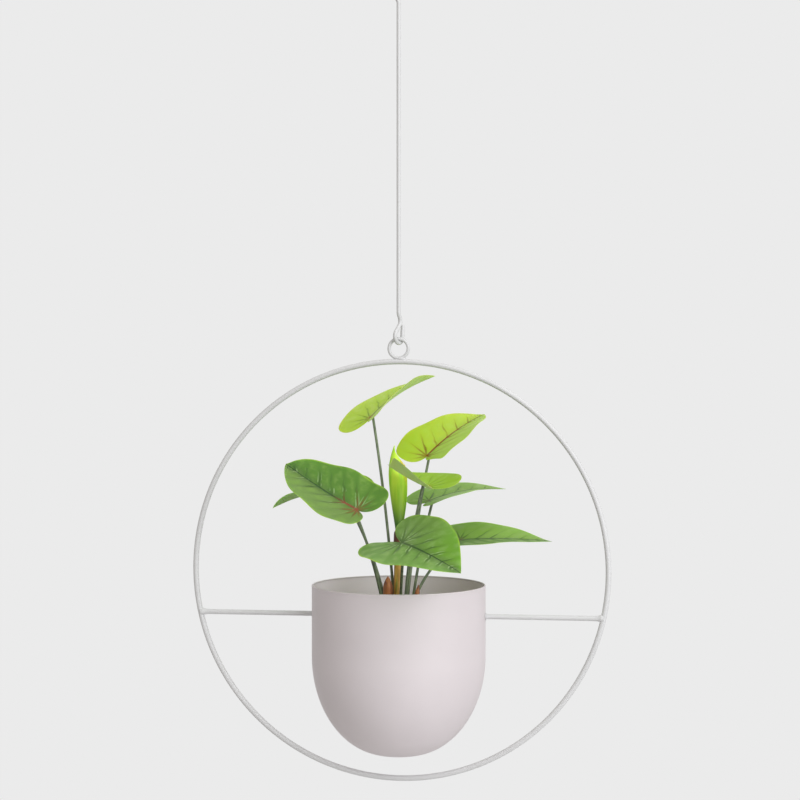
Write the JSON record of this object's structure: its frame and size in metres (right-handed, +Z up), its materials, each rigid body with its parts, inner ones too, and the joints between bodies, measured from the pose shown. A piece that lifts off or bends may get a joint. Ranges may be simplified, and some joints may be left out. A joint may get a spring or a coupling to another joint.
{
  "type": "hanging planter",
  "caption": "Round-bottomed pot that tilts on bars inside a wire hoop, hung by an eyed wire rod from a ceiling screw hook, with an artificial foliage plant.",
  "frame": {"origin": "where the hook's screw enters the ceiling, on the screw's axis", "axes": "+Z up along the screw, X along the bars that carry the pot, front of the planter towards -Y"},
  "size_m": [0.304, 0.1632, 0.6304],
  "materials": {
    "hook_steel": "satin",
    "frame_paint": "satin",
    "pot_paint": "matte",
    "fastener_steel": "satin",
    "foam": "matte",
    "soil": "matte",
    "stalk": "matte",
    "stem": "matte",
    "young_leaf": "satin",
    "old_leaf": "satin",
    "sheath": "matte"
  },
  "bodies": {
    "hook": {"ceiling_hook": "hook_steel"},
    "rod": {"hanger_rod": "frame_paint"},
    "frame": {"hoop": "frame_paint", "top_ring": "frame_paint", "left_bar": "frame_paint", "right_bar": "frame_paint", "outer_washers": "fastener_steel", "inner_washers": "fastener_steel", "pot_nuts": "fastener_steel"},
    "planted_pot": {"pot": "pot_paint", "foam_plug": "foam", "soil_topping": "soil", "stalk": "stalk", "rolled_leaf": "young_leaf", "stalk_sheath": "sheath", "left_sheath": "sheath", "right_sheath": "sheath", "top_leaf": "young_leaf", "upper_right_leaf": "young_leaf", "left_leaf": "old_leaf", "far_left_leaf": "old_leaf", "middle_leaf": "young_leaf", "middle_right_leaf": "old_leaf", "front_leaf": "old_leaf", "right_leaf": "old_leaf", "top_stem": "stem", "upper_right_stem": "stem", "left_stem": "stem", "far_left_stem": "stem", "middle_stem": "stem", "middle_right_stem": "stem", "front_stem": "stem", "right_stem": "stem"}
  },
  "joints": [
    {"name": "rod_swing", "type": "hinge", "parent": "hook", "child": "rod", "pos_m": [0, 0, -0.03163], "axis": [0, 1, 0], "range_deg": [-30, 30]},
    {"name": "hoop_swing", "type": "hinge", "parent": "rod", "child": "frame", "pos_m": [0, 0, -0.29203], "axis": [1, 0, 0], "range_deg": [-45, 45]},
    {"name": "pot_tilt", "type": "hinge", "parent": "frame", "child": "planted_pot", "pos_m": [0, 0, -0.49093], "axis": [1, 0, 0], "range_deg": [-35, 35]}
  ]
}
